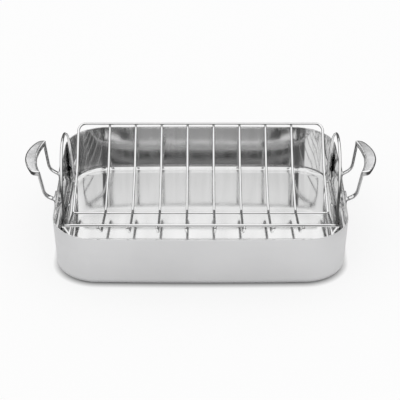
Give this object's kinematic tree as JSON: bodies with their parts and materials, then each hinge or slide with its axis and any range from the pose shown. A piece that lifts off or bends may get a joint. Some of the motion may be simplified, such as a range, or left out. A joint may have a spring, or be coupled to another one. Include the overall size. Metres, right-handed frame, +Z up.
{
  "type": "roasting pan with rack",
  "caption": "Rectangular stainless steel roasting pan with rounded corners, riveted crescent end handles and a lift-out V-shaped wire rack with end loops.",
  "frame": {"origin": "middle of the flat underside, at the lowest point", "axes": "+Z up, +X along the long side towards the right handle, +Y to the back; the picture is taken from -Y"},
  "size_m": [0.5206, 0.354, 0.1535],
  "materials": {
    "pan_steel": "satin outside, mirror polished inside",
    "handle_steel": "polished cast stainless steel",
    "wire_steel": "bright polished wire"
  },
  "bodies": {
    "pan": {"pan_body": "pan_steel", "left_handle": "handle_steel", "right_handle": "handle_steel", "rivets": "handle_steel"},
    "rack": {"back_rail": "wire_steel", "front_rail": "wire_steel", "left_end_wire": "wire_steel", "right_end_wire": "wire_steel", "cross_wire_1": "wire_steel", "cross_wire_2": "wire_steel", "cross_wire_3": "wire_steel", "cross_wire_4": "wire_steel", "cross_wire_5": "wire_steel", "cross_wire_6": "wire_steel", "cross_wire_7": "wire_steel", "cross_wire_8": "wire_steel", "centre_wire": "wire_steel", "left_loop": "wire_steel", "right_loop": "wire_steel"}
  },
  "joints": [
    {"name": "rack_lift", "type": "slide", "parent": "pan", "child": "rack", "axis": [0, 0, 1], "range_m": [0, 0.09]}
  ]
}
